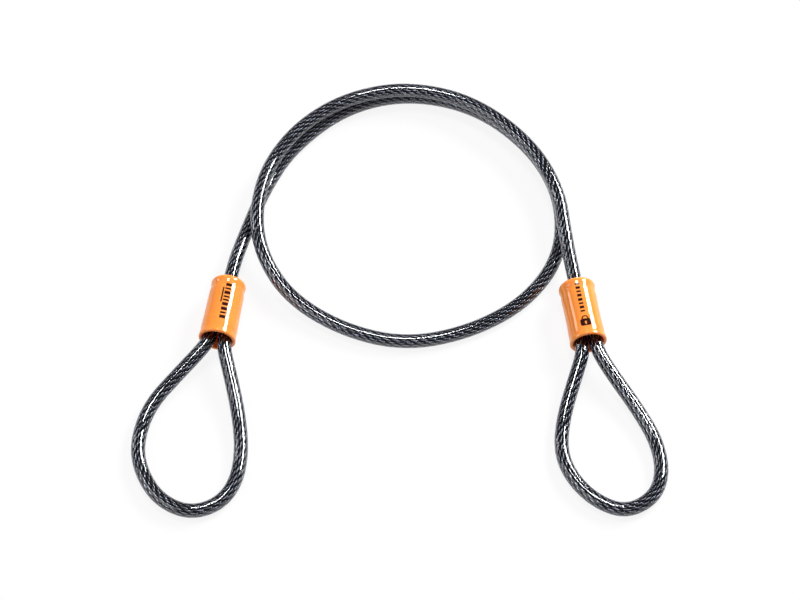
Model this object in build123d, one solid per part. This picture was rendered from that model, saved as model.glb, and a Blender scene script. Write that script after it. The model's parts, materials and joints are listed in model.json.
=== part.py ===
from build123d import *
import os
from math import cos, pi, radians, sin, tan

# A double-loop security cable: steel wire rope in a clear vinyl jacket, laid in one ring, with a
# crimped eye at each end and a coloured vinyl sleeve over each crimp.
# Millimetres. +Z is up and Z = 0 is the surface that the cable lies on. The origin is under the
# middle of the whole. The ring lies towards +Y and both eyes point towards -Y.

# ---- Driving dimensions --------------------------------------------------------------------------

CABLE_D = 5.1  # over the vinyl jacket
ROPE_D = 3.2  # over the steel rope, seven twisted strands
STRANDS_ACROSS = 3  # the king strand and one strand on each side of it
FIT_GAP = 0.05  # radial gap between pieces that sit in each other

SLEEVE_LENGTH = 25.2
SLEEVE_END_WALL = 2.0
SLEEVE_SHOULDER_R = 1.5
SLEEVE_MOUTH_R = 6.85  # outside, at the open end
SLEEVE_MOUTH_WALL = 1.3
SLEEVE_LIP_R = 0.6
SLEEVE_BORE_R = 5.05
SLEEVE_BORE_END = 19.0  # where the straight bore starts to open out to the mouth
SLEEVE_TURN = 8.5  # degrees from -Y to the sleeve's axis, outwards

FERRULE_START = 7.5  # along the sleeve's axis, from its closed end
FERRULE_LENGTH = 10.0
FERRULE_WALL = 1.2
FERRULE_EDGE_R = 0.4
BORE_OFFSET = 2.0  # from the sleeve's axis to each of the ferrule's two bores
CRIMP_STATIONS = (2.5, 5.0, 7.5)  # pressed bands, along the ferrule
CRIMP_WIDTH = 1.3
CRIMP_DEPTH = 0.2
LEG_OFFSET = 2.6  # from the sleeve's axis to each jacketed leg at the mouth

CORNER_SHARE = 0.45  # the part of a run that the arc at its end takes up

# ---- Sizes worked out from these -------------------------------------------------------------------

JACKET_R = CABLE_D / 2
ROPE_R = ROPE_D / 2
KING_R = ROPE_R / STRANDS_ACROSS
LIE = JACKET_R  # height of the cable's centre where it lies on the surface
OVER = LIE + CABLE_D + 0.25  # the same where it lies on the first layer
AXIS_Z = SLEEVE_MOUTH_R  # a sleeve rests on its mouth's rim


class Sleeve:
    """Place and shape of one sleeve. side is -1 for the left one and 1 for the right one."""

    def __init__(self, side, far_x, far_y, far_r, waist_r):
        self.side = side
        self.far_end = Vector(far_x, far_y, AXIS_Z)
        self.far_r = far_r
        self.waist_r = waist_r
        turn = radians(SLEEVE_TURN)
        self.along = Vector(side * sin(turn), -cos(turn), 0)
        self.inward = Vector(-side * cos(turn), -sin(turn), 0)
        self.plane = Plane(origin=self.far_end, x_dir=self.inward, z_dir=self.along)

    def point(self, along, inward):
        """A point at the axis's height, along the axis and towards the ring's side of it."""
        return self.far_end + self.along * along + self.inward * inward


LEFT = Sleeve(side=-1, far_x=-62.3, far_y=2.1, far_r=6.45, waist_r=6.5)
RIGHT = Sleeve(side=1, far_x=64.6, far_y=0.8, far_r=6.85, waist_r=6.4)

# ---- The rope's route ------------------------------------------------------------------------------
# One rope runs from its cut end in the left ferrule, round the left eye, back through the ferrule,
# once and a half round the ring, and through the right ferrule and eye in the same way.

# Inside a sleeve: (along, inward) pairs, from the closed end to the mouth.
CUT_LEG = ((6.5, -BORE_OFFSET), (17.0, -BORE_OFFSET), (19.5, -LEG_OFFSET), (24.8, -LEG_OFFSET - 0.02))
LONG_LEG = (
    (2.5, 0.0),
    (8.0, BORE_OFFSET),
    (17.0, BORE_OFFSET),
    (19.5, LEG_OFFSET),
    (23.0, LEG_OFFSET + 0.02),
)

LEFT_EYE = (
    (-71.6, -26.9, 6.6),
    (-79.0, -35.5, 5.2),
    (-89.6, -48.2, 3.1),
    (-93.5, -64.0, LIE),
    (-90.6, -76.5, LIE),
    (-83.8, -86.6, LIE),
    (-73.5, -91.5, LIE),
    (-63.4, -88.2, LIE),
    (-57.5, -79.4, LIE),
    (-55.8, -66.5, LIE),
    (-57.4, -51.5, 3.1),
    (-60.8, -36.5, 5.2),
    (-63.4, -26.2, 6.7),
)

RING = (
    (-61.1, 8.7, 6.85),
    (-59.6, 16.5, 5.4),
    (-56.4, 28.5, 3.5),
    (-50.8, 47.0, LIE),
    (-40.7, 66.7, LIE),
    (-20.5, 85.5, LIE),
    (4.0, 92.0, LIE),
    (30.3, 85.0, LIE),
    (50.8, 65.5, LIE),
    (60.8, 42.5, LIE),
    (59.8, 17.0, LIE),
    (47.0, -3.0, LIE),
    (27.0, -16.0, LIE),
    (3.0, -22.0, LIE),
    (-20.0, -16.2, 2.8),
    (-40.0, -3.3, 4.2),
    (-51.0, 14.5, 6.5),
    (-53.7, 33.5, 8.3),
    (-49.3, 54.5, 8.1),
    (-37.3, 73.2, OVER),
    (-19.5, 86.0, OVER),
    (3.0, 91.0, OVER),
    (27.8, 84.4, OVER),
    (49.0, 65.0, OVER),
    (59.4, 43.2, OVER),
    (61.4, 22.0, 8.0),
    (63.4, 8.5, 6.9),
)

RIGHT_EYE = (
    (66.2, -28.2, 6.7),
    (63.0, -38.0, 5.2),
    (58.6, -52.5, 3.0),
    (57.0, -66.0, LIE),
    (60.4, -77.0, LIE),
    (68.5, -86.6, LIE),
    (79.2, -91.2, LIE),
    (89.4, -85.4, LIE),
    (93.0, -75.0, LIE),
    (91.3, -62.5, LIE),
    (85.4, -50.0, 3.0),
    (76.4, -36.0, 5.2),
    (71.9, -28.0, 6.6),
)


def leg_points(sleeve, leg):
    return [sleeve.point(along, inward) for along, inward in leg]


def points(coordinates):
    return [Vector(*xyz) for xyz in coordinates]


ROUTE = [
    *leg_points(LEFT, CUT_LEG),
    *points(LEFT_EYE),
    *reversed(leg_points(LEFT, LONG_LEG)),
    *points(RING),
    *leg_points(RIGHT, LONG_LEG),
    *points(RIGHT_EYE),
    *reversed(leg_points(RIGHT, CUT_LEG)),
]

# Corners of the route where a stretch of jacket begins and ends.
LEFT_EYE_FIRST = len(CUT_LEG) - 1
LEFT_EYE_LAST = LEFT_EYE_FIRST + len(LEFT_EYE) + 1
RING_FIRST = LEFT_EYE_LAST + len(LONG_LEG) - 1
RING_LAST = RING_FIRST + len(RING) + 1
RIGHT_EYE_FIRST = RING_LAST + len(LONG_LEG) - 1
RIGHT_EYE_LAST = RIGHT_EYE_FIRST + len(RIGHT_EYE) + 1
ROPE_LAST = len(ROUTE) - 2


def corner_radius(corner):
    """Radius of the arc at a corner: as large as the shorter of its two runs allows."""
    before = ROUTE[corner] - ROUTE[corner - 1]
    after = ROUTE[corner + 1] - ROUTE[corner]
    half_turn = radians(before.get_angle(after)) / 2
    return CORNER_SHARE * min(before.length, after.length) / tan(half_turn)


RADII = [0.0] + [corner_radius(corner) for corner in range(1, ROPE_LAST + 1)]


def route_path(first, last, start=None, end=None):
    """Straight runs and tangent arcs through the corners first to last.

    It starts and ends halfway along a run, unless start or end is given.
    """
    start = start or (ROUTE[first - 1] + ROUTE[first]) / 2
    end = end or (ROUTE[last] + ROUTE[last + 1]) / 2
    return FilletPolyline(start, *ROUTE[first : last + 1], end, radius=RADII[first : last + 1])


def tube(path, outer_r, inner_r=0.0):
    """A round bar along a path, or a tube where it has an inner radius."""
    across = Plane(origin=path @ 0, z_dir=path % 0)
    section = Circle(outer_r)
    if inner_r:
        section -= Circle(inner_r)
    return sweep(across * section, path=path)


# ---- Pieces ------------------------------------------------------------------------------------------


def make_rope():
    """The king strand and the round layer of six strands laid on it."""
    path = route_path(1, ROPE_LAST, start=ROUTE[0], end=ROUTE[-1])
    return {
        "king_strand": (path, KING_R, 0.0),
        "outer_strands": (path, ROPE_R, KING_R + FIT_GAP),
    }


def make_jackets():
    """Clear vinyl on each stretch of rope between the ferrules."""
    stretches = {
        "left_eye_jacket": (LEFT_EYE_FIRST, LEFT_EYE_LAST),
        "main_jacket": (RING_FIRST, RING_LAST),
        "right_eye_jacket": (RIGHT_EYE_FIRST, RIGHT_EYE_LAST),
    }
    return {
        name: (route_path(first, last), JACKET_R, ROPE_R + FIT_GAP)
        for name, (first, last) in stretches.items()
    }


def make_sleeve(sleeve, cable_path):
    """A cap of soft vinyl: a rounded closed end round the cable and an open, flared mouth."""
    mouth_bore_r = SLEEVE_MOUTH_R - SLEEVE_MOUTH_WALL
    with BuildSketch(Plane.XZ) as profile:
        with BuildLine():
            outside = ThreePointArc(
                (sleeve.far_r, 0), (sleeve.waist_r, SLEEVE_LENGTH / 2), (SLEEVE_MOUTH_R, SLEEVE_LENGTH)
            )
            Polyline(
                outside @ 1,
                (mouth_bore_r, SLEEVE_LENGTH),
                (SLEEVE_BORE_R, SLEEVE_BORE_END),
                (SLEEVE_BORE_R, SLEEVE_END_WALL),
                (0, SLEEVE_END_WALL),
                (0, 0),
                outside @ 0,
            )
        make_face()
        fillet(profile.vertices().group_by(Axis.Y)[-1], radius=SLEEVE_LIP_R)
        closed_end = profile.vertices().group_by(Axis.Y)[0]
        fillet(closed_end.sort_by(Axis.X)[-1], radius=SLEEVE_SHOULDER_R)
    body = revolve(profile.sketch, axis=Axis.Z)
    return sleeve.plane * body - tube(cable_path, JACKET_R + FIT_GAP)


def oblong(grow=0.0):
    """The ferrule's outline across its two bores."""
    height = 2 * (ROPE_R + FERRULE_WALL + grow)
    return SlotOverall(height + 2 * BORE_OFFSET, height)


def make_ferrule(sleeve, cut_path, long_path):
    """A pressed alloy ferrule with the rope's cut end and its long leg side by side."""
    body = extrude(oblong(), FERRULE_LENGTH)
    ends = body.faces().filter_by(Axis.Z)
    body = fillet(ends.edges(), radius=FERRULE_EDGE_R)
    for station in CRIMP_STATIONS:
        band = extrude(oblong(1.0) - oblong(-CRIMP_DEPTH), CRIMP_WIDTH / 2, both=True)
        body -= Pos(0, 0, station) * band
    placed = sleeve.plane * Pos(0, 0, FERRULE_START) * body
    for path in (cut_path, long_path):
        placed -= tube(path, ROPE_R + FIT_GAP)
    return placed


def write(name, piece):
    """Write one piece as a STEP file and print its size."""
    solids = piece.solids()
    export_step(Compound(children=solids) if len(solids) > 1 else solids[0], f"parts/{name}.step")
    box = piece.bounding_box()
    print(
        f"{name:18s} {len(solids)} solid  volume {piece.volume:9.2f} mm3  "
        f"x {box.min.X:7.2f} {box.max.X:7.2f}  y {box.min.Y:7.2f} {box.max.Y:7.2f}  "
        f"z {box.min.Z:6.2f} {box.max.Z:6.2f}"
    )


def main():
    os.makedirs("parts", exist_ok=True)

    for name, (path, outer_r, inner_r) in {**make_rope(), **make_jackets()}.items():
        piece = tube(path, outer_r, inner_r)
        write(name, piece)
        expected = pi * (outer_r**2 - inner_r**2) * path.length
        print(f"    length {path.length:.1f} mm, volume over section x length {piece.volume / expected:.4f}")

    left_cable = route_path(RING_FIRST, RING_FIRST + 1)
    right_cable = route_path(RING_LAST - 1, RING_LAST)
    write("left_sleeve", make_sleeve(LEFT, left_cable))
    write("right_sleeve", make_sleeve(RIGHT, right_cable))

    left_cut = route_path(1, 1, start=ROUTE[0])
    left_long = route_path(LEFT_EYE_LAST + 1, RING_FIRST - 1)
    right_long = route_path(RING_LAST + 1, RIGHT_EYE_FIRST - 1)
    right_cut = route_path(ROPE_LAST, ROPE_LAST, end=ROUTE[-1])
    write("left_ferrule", make_ferrule(LEFT, left_cut, left_long))
    write("right_ferrule", make_ferrule(RIGHT, right_cut, right_long))

    print("corner radii, mm:", " ".join(f"{radius:.1f}" for radius in RADII[1:]))


main()
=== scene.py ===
"""A double-loop security cable: clear vinyl over twisted steel rope, with an orange sleeve at each eye.

Positions are in the CAD frame. Lengths are in millimetres, and MM turns them into metres. The floor, the
camera and the lights are in metres.
"""

import json
import math

import bpy
import numpy as np
from mathutils import Matrix, Vector

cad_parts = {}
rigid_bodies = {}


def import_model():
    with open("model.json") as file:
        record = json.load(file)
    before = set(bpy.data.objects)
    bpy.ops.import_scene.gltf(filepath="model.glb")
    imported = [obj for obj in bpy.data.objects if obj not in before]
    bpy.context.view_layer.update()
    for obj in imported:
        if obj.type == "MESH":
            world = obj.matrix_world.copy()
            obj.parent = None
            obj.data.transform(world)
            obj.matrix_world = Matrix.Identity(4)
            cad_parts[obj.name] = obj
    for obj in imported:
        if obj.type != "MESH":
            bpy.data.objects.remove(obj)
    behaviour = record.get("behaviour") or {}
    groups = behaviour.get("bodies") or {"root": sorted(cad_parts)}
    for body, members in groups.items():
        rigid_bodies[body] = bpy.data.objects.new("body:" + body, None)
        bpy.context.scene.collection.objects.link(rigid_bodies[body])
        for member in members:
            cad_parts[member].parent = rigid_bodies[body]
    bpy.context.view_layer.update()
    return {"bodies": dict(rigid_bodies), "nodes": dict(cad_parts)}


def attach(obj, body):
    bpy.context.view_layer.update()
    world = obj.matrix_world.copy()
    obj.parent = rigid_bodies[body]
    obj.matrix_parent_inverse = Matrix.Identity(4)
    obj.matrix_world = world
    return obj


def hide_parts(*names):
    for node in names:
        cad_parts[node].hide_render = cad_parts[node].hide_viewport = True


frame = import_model()
BODY = next(iter(frame["bodies"]))
MM = 0.001

# ---- Sizes, the same as in part.py where it has them --------------------------------------------------

CABLE_R = 2.55
ROPE_R = 1.6
STRAND_R = ROPE_R / 3
ROPE_LAY = 20.0  # length in which a strand goes once round the rope
OUTER_STRANDS = 6
STRAND_LAY = ROPE_LAY / 3  # length in which a wire goes once round an outer strand, against the rope's lay
KING_STRAND_LAY = 12.0  # the same for the king strand
WIRES_AROUND = 4  # wires of a strand
POINTS_PER_WIRE = 6
RING_SPACING = 0.75  # between the rings of points along a strand

SLEEVE_LENGTH = 25.2
SLEEVE_TURN = math.radians(8.5)
SLEEVE_BORE_R = 5.05
SLEEVE_MOUTH_R = 6.85
SLEEVE_MOUTH_WALL = 1.3
AXIS_Z = SLEEVE_MOUTH_R  # height of a sleeve's axis when the sleeve lies on its rim
TURN_GAP = 0.25  # between the ring's two turns
LIE = CABLE_R  # height of the cable's middle where it lies on the surface
OVER = LIE + 2 * CABLE_R + TURN_GAP  # and where it lies on the turn below

# ---- The rope's route ---------------------------------------------------------------------------------


class Sleeve:
    """Place and shape of one sleeve. side is -1 for the left one and 1 for the right one."""

    def __init__(self, name, side, far_x, far_y, far_r, waist_r):
        self.name = name
        self.side = side
        self.far_end = Vector((far_x, far_y, AXIS_Z))
        self.far_r = far_r
        self.waist_r = waist_r
        self.along = Vector((side * math.sin(SLEEVE_TURN), -math.cos(SLEEVE_TURN), 0))
        self.inward = Vector((-side * math.cos(SLEEVE_TURN), -math.sin(SLEEVE_TURN), 0))

    def point(self, along, inward):
        """A point at a distance along the axis from the closed end, and beside the axis."""
        return self.far_end + self.along * along + self.inward * inward


# Distances along a sleeve from its closed end, and towards the ring's middle from its axis.
CUT_LEG = ((6.5, -2.0), (17.0, -2.0), (19.5, -2.6), (24.8, -2.62))
LONG_LEG = ((2.5, 0.0), (8.0, 2.0), (17.0, 2.0), (19.5, 2.6), (23.0, 2.62))

LEFT = Sleeve("left", side=-1, far_x=-62.3, far_y=2.1, far_r=6.45, waist_r=6.5)
RIGHT = Sleeve("right", side=1, far_x=64.6, far_y=0.8, far_r=6.85, waist_r=6.4)

LEFT_EYE = (
    (-71.6, -26.9, 6.6),
    (-79.0, -35.5, 5.2),
    (-89.6, -48.2, 3.1),
    (-93.5, -64.0, LIE),
    (-90.6, -76.5, LIE),
    (-83.8, -86.6, LIE),
    (-73.5, -91.5, LIE),
    (-63.4, -88.2, LIE),
    (-57.5, -79.4, LIE),
    (-55.8, -66.5, LIE),
    (-57.4, -51.5, 3.1),
    (-60.8, -36.5, 5.2),
    (-63.4, -26.2, 6.7),
)

RING = (
    (-61.1, 8.7, 6.85),
    (-59.6, 16.5, 5.4),
    (-56.4, 28.5, 3.5),
    (-50.8, 47.0, LIE),
    (-40.7, 66.7, LIE),
    (-20.5, 85.5, LIE),
    (4.0, 92.0, LIE),
    (30.3, 85.0, LIE),
    (50.8, 65.5, LIE),
    (60.8, 42.5, LIE),
    (59.8, 17.0, LIE),
    (47.0, -3.0, LIE),
    (27.0, -16.0, LIE),
    (3.0, -22.0, LIE),
    (-20.0, -16.2, 2.8),
    (-40.0, -3.3, 4.2),
    (-51.0, 14.5, 6.5),
    (-53.7, 33.5, 8.3),
    (-49.3, 54.5, 8.1),
    (-37.3, 73.2, OVER),
    (-19.5, 86.0, OVER),
    (3.0, 91.0, OVER),
    (27.8, 84.4, OVER),
    (49.0, 65.0, OVER),
    (59.4, 43.2, OVER),
    (61.4, 22.0, 8.0),
    (63.4, 8.5, 6.9),
)

RIGHT_EYE = (
    (66.2, -28.2, 6.7),
    (63.0, -38.0, 5.2),
    (58.6, -52.5, 3.0),
    (57.0, -66.0, LIE),
    (60.4, -77.0, LIE),
    (68.5, -86.6, LIE),
    (79.2, -91.2, LIE),
    (89.4, -85.4, LIE),
    (93.0, -75.0, LIE),
    (91.3, -62.5, LIE),
    (85.4, -50.0, 3.0),
    (76.4, -36.0, 5.2),
    (71.9, -28.0, 6.6),
)


def leg_points(sleeve, leg):
    """The route's points in one leg of the rope inside a sleeve, from its closed end to its mouth."""
    return [sleeve.point(along, inward) for along, inward in leg]


def points(coordinates):
    return [Vector(xyz) for xyz in coordinates]


ROUTE = [
    *leg_points(LEFT, CUT_LEG),
    *points(LEFT_EYE),
    *reversed(leg_points(LEFT, LONG_LEG)),
    *points(RING),
    *leg_points(RIGHT, LONG_LEG),
    *points(RIGHT_EYE),
    *reversed(leg_points(RIGHT, CUT_LEG)),
]
LEFT_EYE_FIRST = len(CUT_LEG) - 1
LEFT_EYE_LAST = LEFT_EYE_FIRST + len(LEFT_EYE) + 1
RING_FIRST = LEFT_EYE_LAST + len(LONG_LEG) - 1
RING_LAST = RING_FIRST + len(RING) + 1
RIGHT_EYE_FIRST = RING_LAST + len(LONG_LEG) - 1
RIGHT_EYE_LAST = RIGHT_EYE_FIRST + len(RIGHT_EYE) + 1


# ---- Materials ----------------------------------------------------------------------------------------


def new_material(name):
    """A material with its shader, and a maker of nodes joined as it says."""
    material = bpy.data.materials.new(name)
    material.use_nodes = True
    tree = material.node_tree
    shader = tree.nodes["Principled BSDF"]

    def node(kind, inputs=None, **settings):
        made = tree.nodes.new(kind)
        for key, value in settings.items():
            setattr(made, key, value)
        for key, value in (inputs or {}).items():
            if isinstance(value, bpy.types.NodeSocket):
                tree.links.new(value, made.inputs[key])
            else:
                made.inputs[key].default_value = value
        return made

    def link(output, socket):
        tree.links.new(output, socket)

    return material, shader, node, link


def noise(node, scale, detail=3.0):
    """Noise in the object's own coordinates, with scale in features per metre."""
    place = node("ShaderNodeTexCoord").outputs["Object"]
    return node("ShaderNodeTexNoise", {"Vector": place, "Scale": scale, "Detail": detail}).outputs["Fac"]


def ramp(node, value, low, high, at=(0.3, 0.7)):
    """Two colours or grey levels, blended over a range of value."""
    made = node("ShaderNodeValToRGB", {"Fac": value})
    for element, position, colour in zip(made.color_ramp.elements, at, (low, high)):
        element.position = position
        element.color = colour if isinstance(colour, tuple) else (colour, colour, colour, 1)
    return made.outputs["Color"]


def clear_vinyl():
    """Glossy, slightly wavy and smoke-tinted. The tint's density is per metre."""
    material, shader, node, link = new_material("clear_vinyl")
    shader.inputs["Base Color"].default_value = (0.97, 0.98, 1.0, 1)
    shader.inputs["Transmission Weight"].default_value = 1.0
    shader.inputs["IOR"].default_value = 1.68
    link(ramp(node, noise(node, 260), 0.01, 0.03), shader.inputs["Roughness"])
    waves = node("ShaderNodeBump", {"Height": noise(node, 90, 1.0), "Strength": 0.04, "Distance": 0.0004})
    link(waves.outputs["Normal"], shader.inputs["Normal"])
    smoke = node("ShaderNodeVolumeAbsorption", {"Color": (0.49, 0.52, 0.61, 1), "Density": 660.0})
    link(smoke.outputs["Volume"], material.node_tree.nodes["Material Output"].inputs["Volume"])
    return material


def steel_wire():
    """Drawn wire: bright on its crests and dark in the grooves, where the light doesn't reach."""
    material, shader, node, link = new_material("steel_wire")
    shader.inputs["Metallic"].default_value = 1.0
    shader.inputs["Specular Tint"].default_value = (0.12, 0.12, 0.14, 1)
    crest = node("ShaderNodeAttribute", attribute_name="crest").outputs["Fac"]
    bright = ramp(node, noise(node, 900), (0.62, 0.63, 0.69, 1), (0.95, 0.96, 1.0, 1))
    # Painted shade: the crest attribute darkens the grooves between wires and the inner sides of the outer
    # strands.
    shaded = ramp(node, crest, (0.012, 0.012, 0.015, 1), (1, 1, 1, 1), at=(0.55, 1.0))
    colour = node("ShaderNodeMix", data_type="RGBA", blend_type="MULTIPLY")
    colour.inputs["Factor"].default_value = 1.0
    link(bright, colour.inputs["A"])
    link(shaded, colour.inputs["B"])
    link(colour.outputs["Result"], shader.inputs["Base Color"])
    link(ramp(node, noise(node, 1500), 0.22, 0.36), shader.inputs["Roughness"])
    return material


def orange_vinyl():
    """Soft, glossy dipped vinyl, with light that spreads a little way inside it."""
    material, shader, node, link = new_material("orange_vinyl")
    link(
        ramp(node, noise(node, 120), (0.86, 0.265, 0.046, 1), (0.90, 0.29, 0.054, 1)),
        shader.inputs["Base Color"],
    )
    shader.inputs["IOR"].default_value = 1.53
    shader.inputs["Subsurface Weight"].default_value = 0.4
    shader.inputs["Subsurface Radius"].default_value = (1.0, 0.3, 0.08)
    shader.inputs["Subsurface Scale"].default_value = 0.002
    link(ramp(node, noise(node, 500), 0.05, 0.10), shader.inputs["Roughness"])
    skin = node("ShaderNodeBump", {"Height": noise(node, 130, 1.0), "Strength": 0.08, "Distance": 0.0006})
    link(skin.outputs["Normal"], shader.inputs["Normal"])
    return material


def printing_ink():
    """Dark ink with a faint red in it."""
    material, shader, node, link = new_material("printing_ink")
    link(
        ramp(node, noise(node, 700), (0.022, 0.003, 0.003, 1), (0.04, 0.006, 0.005, 1)),
        shader.inputs["Base Color"],
    )
    link(ramp(node, noise(node, 900), 0.12, 0.2), shader.inputs["Roughness"])
    shader.inputs["Specular IOR Level"].default_value = 0.25
    return material


def pressed_alloy():
    """Dull, slightly mottled metal."""
    material, shader, node, link = new_material("pressed_alloy")
    shader.inputs["Metallic"].default_value = 1.0
    link(
        ramp(node, noise(node, 600), (0.55, 0.56, 0.57, 1), (0.75, 0.76, 0.77, 1)),
        shader.inputs["Base Color"],
    )
    link(ramp(node, noise(node, 1800), 0.3, 0.5), shader.inputs["Roughness"])
    return material


CLEAR_VINYL = clear_vinyl()
STEEL_WIRE = steel_wire()
ORANGE_VINYL = orange_vinyl()
PRINTING_INK = printing_ink()
PRESSED_ALLOY = pressed_alloy()


def add_piece(obj, material, slot, *nodes):
    """Finish a piece: its material, the body that it rides on, and hiding the CAD nodes that it stands for.
    slot is not used.
    """
    if obj.name not in bpy.context.scene.collection.objects:
        bpy.context.scene.collection.objects.link(obj)
    obj.data.materials.clear()
    obj.data.materials.append(material)
    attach(obj, BODY)
    if nodes:
        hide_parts(*nodes)
    return obj


# ---- Cable --------------------------------------------------------------------------------------------


def route_spline(name, control_points):
    """A smooth curve that has these control points."""
    curve = bpy.data.curves.new(name, "CURVE")
    curve.dimensions = "3D"
    spline = curve.splines.new("NURBS")
    spline.points.add(len(control_points) - 1)
    for control, place in zip(spline.points, control_points):
        control.co = (*(place * MM), 1.0)
    spline.order_u = 3
    spline.use_endpoint_u = True
    spline.resolution_u = 24
    curve.resolution_u = 24
    return bpy.data.objects.new(name, curve)


def make_jacket(name, node, first, last, length):
    """Clear vinyl on one stretch of the rope, from halfway along a run to halfway along another.

    Returns the jacket with its start and its length in metres.
    """
    start = (ROUTE[first - 1] + ROUTE[first]) / 2
    end = (ROUTE[last] + ROUTE[last + 1]) / 2
    jacket = route_spline(name, [start, *ROUTE[first : last + 1], end])
    jacket.data.bevel_depth = CABLE_R * MM
    jacket.data.bevel_resolution = 10
    jacket.data.use_fill_caps = True
    add_piece(jacket, CLEAR_VINYL, "clear_vinyl", node)
    return jacket, start * MM, length * MM


def centreline():
    """Evenly spaced points along the rope's smooth curve, as an array, in millimetres."""
    line = route_spline("rope_line", ROUTE)
    bpy.context.scene.collection.objects.link(line)
    mesh = bpy.data.meshes.new_from_object(line.evaluated_get(bpy.context.evaluated_depsgraph_get()))
    found = np.array([vertex.co for vertex in mesh.vertices]) / MM
    bpy.data.meshes.remove(mesh)
    bpy.data.objects.remove(line)
    steps = np.linalg.norm(np.diff(found, axis=0), axis=1)
    found = found[np.r_[True, steps > 1e-6]]
    at = np.r_[0, np.cumsum(np.linalg.norm(np.diff(found, axis=0), axis=1))]
    even = np.linspace(0, at[-1], round(at[-1] / RING_SPACING) + 1)
    return even, np.stack([np.interp(even, at, found[:, axis]) for axis in range(3)], axis=1)


def carried_frames(line):
    """Unit tangents along the line, and two unit normals carried along it without twist."""
    tangents = np.gradient(line, axis=0)
    tangents /= np.linalg.norm(tangents, axis=1)[:, None]
    normal = np.cross(tangents[0], (0.0, 0.0, 1.0))
    normals = []
    for tangent in tangents:
        normal = normal - tangent * (normal @ tangent)
        normal = normal / np.linalg.norm(normal)
        normals.append(normal)
    normals = np.array(normals)
    return tangents, normals, np.cross(tangents, normals)


def wire_section():
    """Outline of a strand: an angle, a radius and how far out on its wire, for each point round it."""
    wire_r = STRAND_R / (1 + 1 / math.sin(math.pi / WIRES_AROUND))
    ring_r = STRAND_R - wire_r
    step = 2 * math.pi / (WIRES_AROUND * POINTS_PER_WIRE)
    angles = np.arange(WIRES_AROUND * POINTS_PER_WIRE) * step
    turn = math.pi / WIRES_AROUND
    from_wire = (angles + turn) % (2 * turn) - turn
    reach = np.sqrt(np.maximum(wire_r**2 - (ring_r * np.sin(from_wire)) ** 2, 0))
    radii = ring_r * np.cos(from_wire) + reach
    valley = radii.min()
    return angles, radii, (radii - valley) / (STRAND_R - valley)


def tube_mesh(name, rings, crest):
    """A closed mesh through rings of points, with the attribute crest at each point."""
    count, around, _ = rings.shape
    corner = np.arange(count * around).reshape(count, around)
    beside = np.roll(corner, -1, axis=1)
    sides = np.stack([corner[:-1], beside[:-1], beside[1:], corner[1:]], axis=-1).reshape(-1, 4)
    faces = [*sides.tolist(), corner[0][::-1].tolist(), corner[-1].tolist()]
    mesh = bpy.data.meshes.new(name)
    mesh.from_pydata((rings.reshape(-1, 3) * MM).tolist(), [], faces)
    shade = mesh.attributes.new("crest", "FLOAT", "POINT")
    shade.data.foreach_set("value", crest.astype(np.float32).ravel())
    mesh.shade_smooth()
    return bpy.data.objects.new(name, mesh)


def make_strand(name, line, ring_radius, start_angle, wire_lay):
    """A strand of twisted wires. It goes round the rope's line at ring_radius, right-handed."""
    even, places, tangents, normals, sideways = line
    turned = start_angle + 2 * math.pi * even / ROPE_LAY
    outward = np.cos(turned)[:, None] * normals + np.sin(turned)[:, None] * sideways
    round_way = -np.sin(turned)[:, None] * normals + np.cos(turned)[:, None] * sideways
    slope = 2 * math.pi * ring_radius / ROPE_LAY
    heading = tangents + slope * round_way
    heading /= np.linalg.norm(heading, axis=1)[:, None]
    across = np.cross(heading, outward)
    angles, radii, out_on_wire = wire_section()
    twisted = angles[None, :] - 2 * math.pi * even[:, None] / wire_lay
    centres = places + ring_radius * outward
    rings = (
        centres[:, None, :]
        + (radii * np.cos(twisted))[:, :, None] * outward[:, None, :]
        + (radii * np.sin(twisted))[:, :, None] * across[:, None, :]
    )
    # Painted shade: crest is lowest in the grooves between wires, and the material darkens the strand there.
    crest = np.broadcast_to(out_on_wire, twisted.shape)
    if ring_radius:
        # Painted shade: an outer strand is darkest on the side that faces the middle of the rope, where its
        # wires lie in shadow.
        crest = crest * (0.5 + 0.5 * np.cos(twisted))
    return tube_mesh(name, rings, crest)


jackets = [
    make_jacket("left_eye_cable", "left_eye_jacket", LEFT_EYE_FIRST, LEFT_EYE_LAST, length=169.6),
    make_jacket("main_cable", "main_jacket", RING_FIRST, RING_LAST, length=601.5),
    make_jacket("right_eye_cable", "right_eye_jacket", RIGHT_EYE_FIRST, RIGHT_EYE_LAST, length=163.2),
]

even_steps, rope_places = centreline()
rope_line = (even_steps, rope_places, *carried_frames(rope_places))
king_strand = make_strand(
    "king_strand_wires", rope_line, ring_radius=0.0, start_angle=0.0, wire_lay=KING_STRAND_LAY
)
strands = [add_piece(king_strand, STEEL_WIRE, "wire_rope", "king_strand")]
for number in range(OUTER_STRANDS):
    strand = make_strand(
        f"outer_strand_{number + 1}",
        rope_line,
        ring_radius=ROPE_R - STRAND_R,
        start_angle=number * 2 * math.pi / OUTER_STRANDS,
        wire_lay=STRAND_LAY,
    )
    strands.append(add_piece(strand, STEEL_WIRE, "wire_rope", "outer_strands"))

# ---- Sleeves and ferrules -----------------------------------------------------------------------------


def arc_through(start, middle, end, share):
    """A smooth value from start through middle to end."""
    from_start = start * (1 - share) * (1 - 2 * share)
    from_middle = middle * 4 * share * (1 - share)
    from_end = end * share * (2 * share - 1)
    return from_start + from_middle + from_end


def groove(along, middle, spread, depth):
    """How much a shallow round groove takes off the radius."""
    return depth * math.exp(-(((along - middle) / spread) ** 2))


def outside_radius(sleeve, along):
    """Outer radius of a sleeve: waisted, with a bead at its closed end and a rolled rim at its mouth."""
    share = along / SLEEVE_LENGTH
    smooth = arc_through(sleeve.far_r, sleeve.waist_r, SLEEVE_MOUTH_R, share)
    behind_bead = groove(along, middle=3.8, spread=1.3, depth=0.22)
    before_rim = groove(along, middle=SLEEVE_LENGTH - 2.6, spread=1.2, depth=0.12)
    return smooth - behind_bead - before_rim


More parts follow.
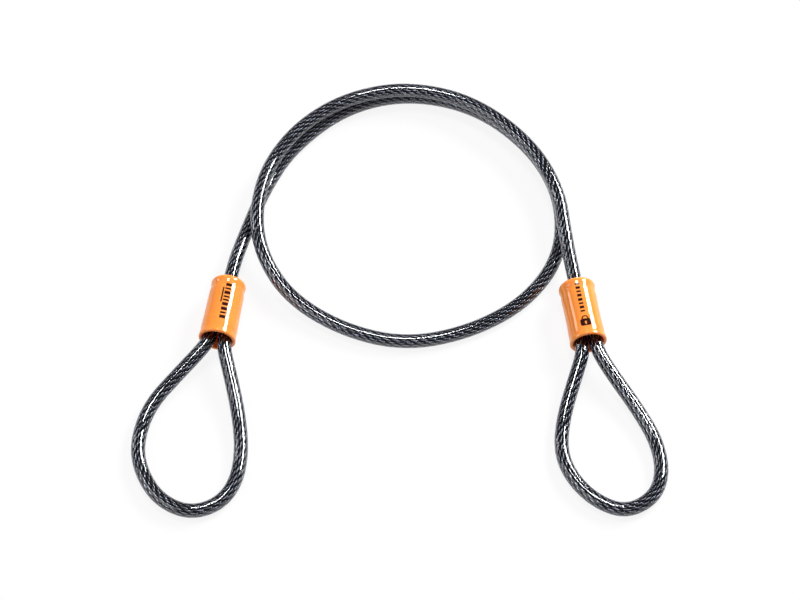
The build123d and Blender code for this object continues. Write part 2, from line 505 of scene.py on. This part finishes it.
# Inside of a sleeve, from its mouth to the hole in its closed end: distances along it and radii.
SLEEVE_INSIDE = (
    (22.0, 5.3),
    (19.0, SLEEVE_BORE_R),
    (10.0, SLEEVE_BORE_R),
    (2.6, SLEEVE_BORE_R),
    (2.0, SLEEVE_BORE_R - 0.6),
    (2.0, CABLE_R + 0.1),
    (0.25, CABLE_R + 0.02),
    (0.0, CABLE_R + 0.3),
)
SHOULDER_R = 1.6  # rounding of the closed end
LIP_R = 0.6  # rounding of the rim, inside and outside
QUARTER_STEPS = 8  # of a rounding
WAIST_STEPS = 48
SLEEVE_STEPS_ROUND = 96


def sleeve_profile(sleeve):
    """Closed outline of half a sleeve's section: distances along its axis and radii."""
    quarter = [step * math.pi / 2 / QUARTER_STEPS for step in range(QUARTER_STEPS + 1)]
    lip_at = SLEEVE_LENGTH - LIP_R
    shoulder_centre = outside_radius(sleeve, SHOULDER_R) - SHOULDER_R
    rim_centre = outside_radius(sleeve, lip_at) - LIP_R
    bore_centre = SLEEVE_MOUTH_R - SLEEVE_MOUTH_WALL + LIP_R
    outline = []
    for angle in reversed(quarter):
        outline.append((SHOULDER_R * (1 - math.sin(angle)), shoulder_centre + SHOULDER_R * math.cos(angle)))
    for along in np.linspace(SHOULDER_R, lip_at, WAIST_STEPS)[1:]:
        outline.append((along, outside_radius(sleeve, along)))
    for angle in quarter[1:]:
        outline.append((lip_at + LIP_R * math.sin(angle), rim_centre + LIP_R * math.cos(angle)))
    for angle in quarter[1:]:
        outline.append((lip_at + LIP_R * math.cos(angle), bore_centre - LIP_R * math.sin(angle)))
    outline.extend(SLEEVE_INSIDE)
    return outline


def on_sleeve(sleeve, along, angle, radius):
    """A point at an angle round the sleeve's axis from the top, towards the right of the view."""
    up = Vector((0, 0, 1))
    right = Vector((math.cos(SLEEVE_TURN), sleeve.side * math.sin(SLEEVE_TURN), 0))
    return sleeve.far_end + sleeve.along * along + (up * math.cos(angle) + right * math.sin(angle)) * radius


def make_sleeve(sleeve):
    """A cap of soft vinyl, turned round its axis."""
    outline = sleeve_profile(sleeve)
    vertices = []
    for step in range(SLEEVE_STEPS_ROUND):
        angle = 2 * math.pi * step / SLEEVE_STEPS_ROUND
        for along, radius in outline:
            vertices.append(on_sleeve(sleeve, along, angle, radius) * MM)
    count = len(outline)
    faces = []
    for step in range(SLEEVE_STEPS_ROUND):
        here = step * count
        there = (step + 1) % SLEEVE_STEPS_ROUND * count
        for index in range(count):
            beyond = (index + 1) % count
            faces.append((here + index, there + index, there + beyond, here + beyond))
    mesh = bpy.data.meshes.new(f"{sleeve.name}_vinyl_sleeve")
    mesh.from_pydata(vertices, [], faces)
    mesh.shade_smooth()
    made = bpy.data.objects.new(mesh.name, mesh)
    return add_piece(made, ORANGE_VINYL, "orange_vinyl", f"{sleeve.name}_sleeve")


for sleeve in (LEFT, RIGHT):
    make_sleeve(sleeve)
    ferrule = frame["nodes"][f"{sleeve.name}_ferrule"]
    ferrule.data.materials.clear()
    ferrule.data.materials.append(PRESSED_ALLOY)

# ---- Print on the sleeves -----------------------------------------------------------------------------

INK_HEIGHT = 0.03  # of the print over the sleeve
BAR_GAP = 0.75  # between the bars of a row


def wrapped_patch(sleeve, across_of, along_of, rows, columns, closed=False):
    """Vertices and faces of a printed patch on the sleeve.

    The two functions place a point from its share of the rows and its share of the columns.
    """
    vertices = []
    for row in range(rows + 1):
        for column in range(columns + (0 if closed else 1)):
            shares = (row / rows, column / columns)
            along = along_of(*shares)
            radius = outside_radius(sleeve, along) + INK_HEIGHT
            angle = across_of(*shares) / radius
            vertices.append(on_sleeve(sleeve, along, angle, radius) * MM)
    width = columns if closed else columns + 1
    faces = []
    for row in range(rows):
        for column in range(columns):
            corner = row * width + column
            beside = row * width + (column + 1) % width
            faces.append((corner, beside, beside + width, corner + width))
    return vertices, faces


def bar(sleeve, along, across, length, height):
    """A plain printed bar. length runs along the sleeve and height round it."""
    return wrapped_patch(
        sleeve,
        lambda row, column: across + height * (row - 0.5),
        lambda row, column: along + length * (column - 0.5),
        rows=8,
        columns=3,
    )


def bar_row(sleeve, lengths, start, across, height):
    """Bars of these lengths one after another along the sleeve, with a gap after each."""
    patches = []
    along = start
    for length in lengths:
        patches.append(bar(sleeve, along + length / 2, across, length, height))
        along += length + BAR_GAP
    return patches


def padlock(sleeve, along, across, size):
    """A generic padlock: a rounded body with a keyhole, and a bow over it. size is its width."""
    body_half_width = 0.5 * size
    body_half_height = 0.38 * size
    body_squareness = 5  # power of the body's rounded outline
    body_middle = along + 0.2 * size
    keyhole_r = 0.11 * size
    slot_half_width = 0.07 * size
    slot_reach = 0.24 * size
    bow_foot = along - 0.18 * size
    bow_half_width = 0.22  # inside, as a share of size
    bow_height = 0.24  # inside, as a share of size
    bow_thickness = 0.12

    def body_edge(angle):
        share_across = abs(math.cos(angle) / body_half_width) ** body_squareness
        share_along = abs(math.sin(angle) / body_half_height) ** body_squareness
        return (share_across + share_along) ** (-1 / body_squareness)

    def keyhole_edge(angle):
        if math.sin(angle) <= 0.5:
            return keyhole_r
        slot = slot_half_width / max(abs(math.cos(angle)), 1e-6)
        return min(max(keyhole_r, slot), slot_reach)

    def body_reach(row, column):
        angle = 2 * math.pi * column
        return keyhole_edge(angle) * (1 - row) + body_edge(angle) * row

    def body_across(row, column):
        return across + body_reach(row, column) * math.cos(2 * math.pi * column)

    def body_along(row, column):
        return body_middle + body_reach(row, column) * math.sin(2 * math.pi * column)

    def bow_across(row, column):
        reach = (bow_half_width + bow_thickness * row) * size
        return across + reach * math.cos(math.pi * (1 + column))

    def bow_along(row, column):
        reach = (bow_height + bow_thickness * row) * size
        return bow_foot + reach * math.sin(math.pi * (1 + column))

    body = wrapped_patch(sleeve, body_across, body_along, rows=6, columns=48, closed=True)
    bow = wrapped_patch(sleeve, bow_across, bow_along, rows=2, columns=24)
    return [body, bow]


def make_print(sleeve, patches):
    """All of a sleeve's print as one piece."""
    vertices = []
    faces = []
    for patch_vertices, patch_faces in patches:
        first = len(vertices)
        vertices.extend(patch_vertices)
        faces.extend(tuple(first + index for index in face) for face in patch_faces)
    mesh = bpy.data.meshes.new(f"{sleeve.name}_sleeve_print")
    mesh.from_pydata(vertices, [], faces)
    mesh.shade_smooth()
    made = bpy.data.objects.new(mesh.name, mesh)
    return add_piece(made, PRINTING_INK, "sleeve_print")


# Lengths of the bars, from the closed end of the sleeve towards its mouth.
LEFT_BARS = (1.3, 0.7, 1.3, 0.7, 0.7, 1.3, 1.3, 0.7, 1.3)
RIGHT_BARS = (0.7, 1.1, 0.7, 1.1, 1.1, 0.7, 1.1, 0.7)

left_patches = bar_row(LEFT, LEFT_BARS, start=4.2, across=1.2, height=2.2)
left_patches.append(bar(LEFT, along=9.4, across=-0.5, length=6.4, height=0.5))
make_print(LEFT, left_patches)

right_patches = bar_row(RIGHT, RIGHT_BARS, start=3.0, across=-0.6, height=1.6)
right_patches.extend(padlock(RIGHT, along=19.2, across=-0.4, size=3.9))
make_print(RIGHT, right_patches)

# ---- Floor, camera and light --------------------------------------------------------------------------

half_width = 3.0
corners = [
    (-half_width, -half_width, 0),
    (half_width, -half_width, 0),
    (half_width, half_width, 0),
    (-half_width, half_width, 0),
]
floor_mesh = bpy.data.meshes.new("floor")
floor_mesh.from_pydata(corners, [], [(0, 1, 2, 3)])
floor = bpy.data.objects.new("floor", floor_mesh)
bpy.context.scene.collection.objects.link(floor)
floor_material, floor_shader, _, _ = new_material("pale_floor")
floor_shader.inputs["Base Color"].default_value = (0.09, 0.09, 0.09, 1)
floor_shader.inputs["Roughness"].default_value = 0.9
floor_shader.inputs["Specular IOR Level"].default_value = 0.0
floor_shader.inputs["Emission Color"].default_value = (1, 1, 1, 1)
floor_shader.inputs["Emission Strength"].default_value = 0.88
floor_mesh.materials.append(floor_material)

CAMERA_ELEVATION = math.radians(57)
CAMERA_DISTANCE = 1.0409
CAMERA_TARGET = Vector((0.0002, -0.0036, 0.004))

camera_data = bpy.data.cameras.new("camera")
camera_data.lens = 128
camera_data.sensor_width = 36
camera = bpy.data.objects.new("camera", camera_data)
bpy.context.scene.collection.objects.link(camera)
towards_camera = Vector((0, -math.cos(CAMERA_ELEVATION), math.sin(CAMERA_ELEVATION)))
camera.location = CAMERA_TARGET + towards_camera * CAMERA_DISTANCE
camera.rotation_euler = (CAMERA_TARGET - camera.location).to_track_quat("-Z", "Y").to_euler()
bpy.context.scene.camera = camera


def add_light(name, place, along, size, watts):
    """A soft rectangular light aimed at the origin. size is its length, along a direction, and its width."""
    data = bpy.data.lights.new(name, "AREA")
    data.shape = "RECTANGLE"
    data.size, data.size_y = size
    data.energy = watts
    light = bpy.data.objects.new(name, data)
    bpy.context.scene.collection.objects.link(light)
    back = Vector(place).normalized()
    side = Vector(along)
    side = (side - back * back.dot(side)).normalized()
    turn = Matrix((side, back.cross(side), back)).transposed().to_4x4()
    light.matrix_world = Matrix.Translation(place) @ turn


add_light("key", place=(1.0, 0.88, 0.94), along=(0, 1, -0.25), size=(0.85, 0.5), watts=40)
add_light("top", place=(0.0, 0.33, 1.3), along=(1, 0, 0), size=(0.36, 0.3), watts=8)
add_light("left", place=(-1.0, -0.35, 0.7), along=(-0.3, 1, 0.1), size=(1.2, 0.8), watts=5.5)
add_light("kicker", place=(-1.04, 0.53, 0.44), along=(0, 0, 1), size=(0.3, 0.2), watts=0.9)

world = bpy.data.worlds.new("world")
world.use_nodes = True
world.node_tree.nodes["Background"].inputs["Color"].default_value = (1, 1, 1, 1)
world.node_tree.nodes["Background"].inputs["Strength"].default_value = 0.15
bpy.context.scene.world = world
bpy.context.scene.view_settings.view_transform = "Standard"
